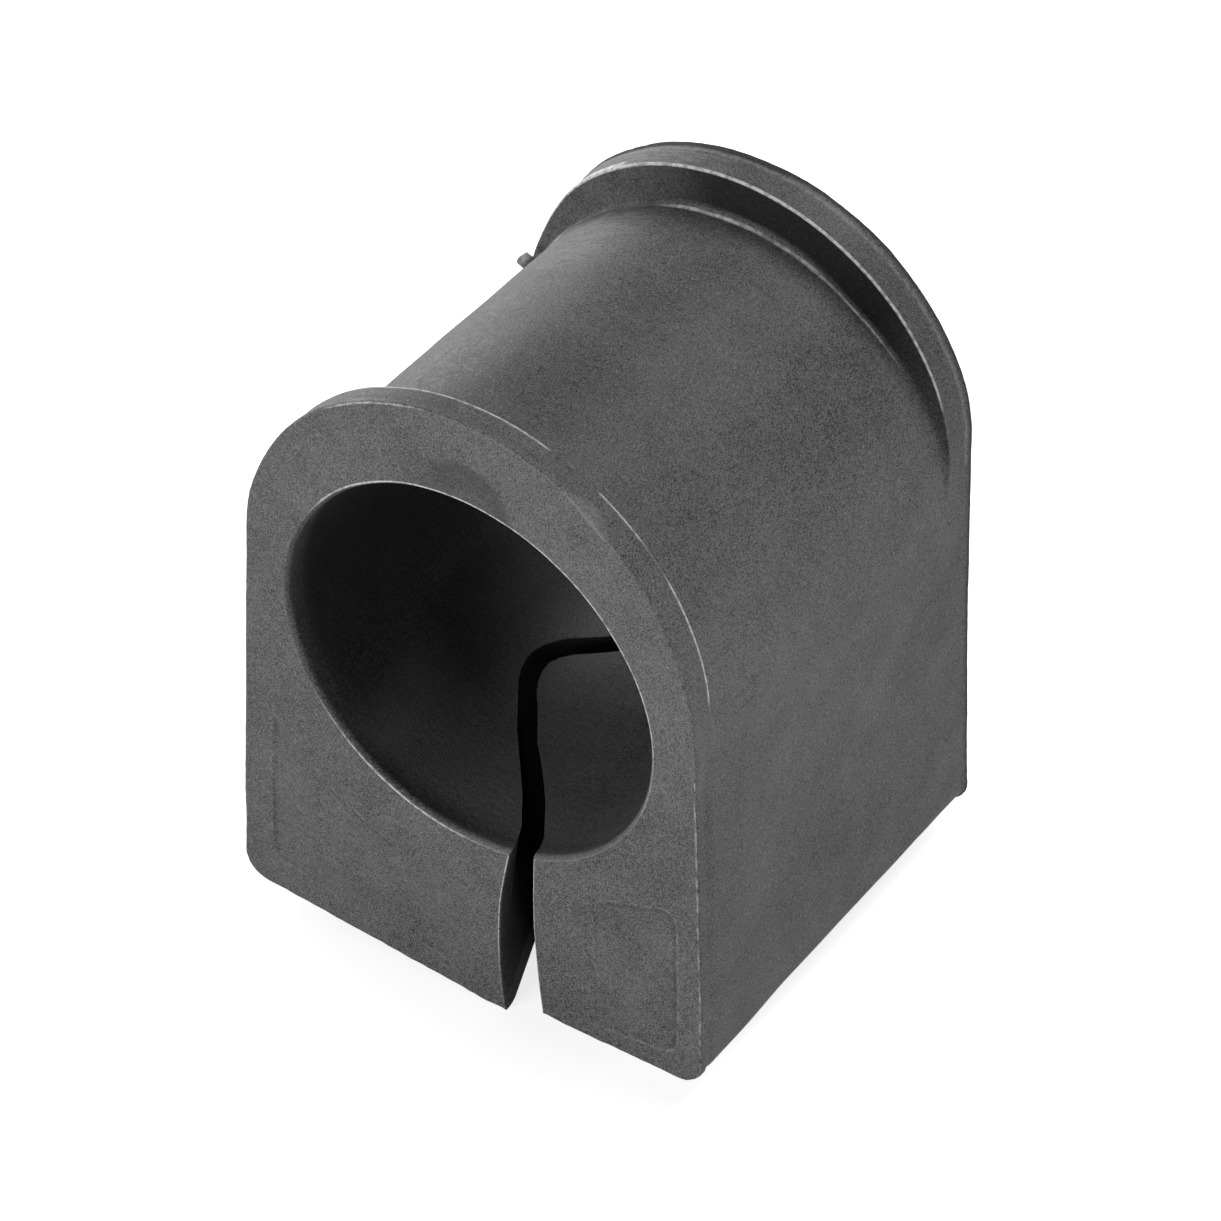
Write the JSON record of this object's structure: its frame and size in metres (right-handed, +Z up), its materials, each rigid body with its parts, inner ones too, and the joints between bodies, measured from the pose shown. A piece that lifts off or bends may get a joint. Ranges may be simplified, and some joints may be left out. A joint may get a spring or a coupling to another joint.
{
  "type": "sway bar bushing",
  "caption": "Split rubber bush with a round bore, an arched saddle between flanges, two splayed legs and a wavy slit through the base.",
  "frame": {"origin": "centre of the bore, halfway between the front face and the rear face", "axes": "+Y along the bore from the front face to the rear face, +Z up through the crown of the saddle, +X to the shorter leg"},
  "size_m": [0.0592, 0.0534, 0.0784],
  "materials": {
    "rubber": "matt moulded black rubber with a fine grain, a little paler where it has been handled"
  },
  "bodies": {
    "root": {"bushing": "rubber"}
  },
  "joints": []
}
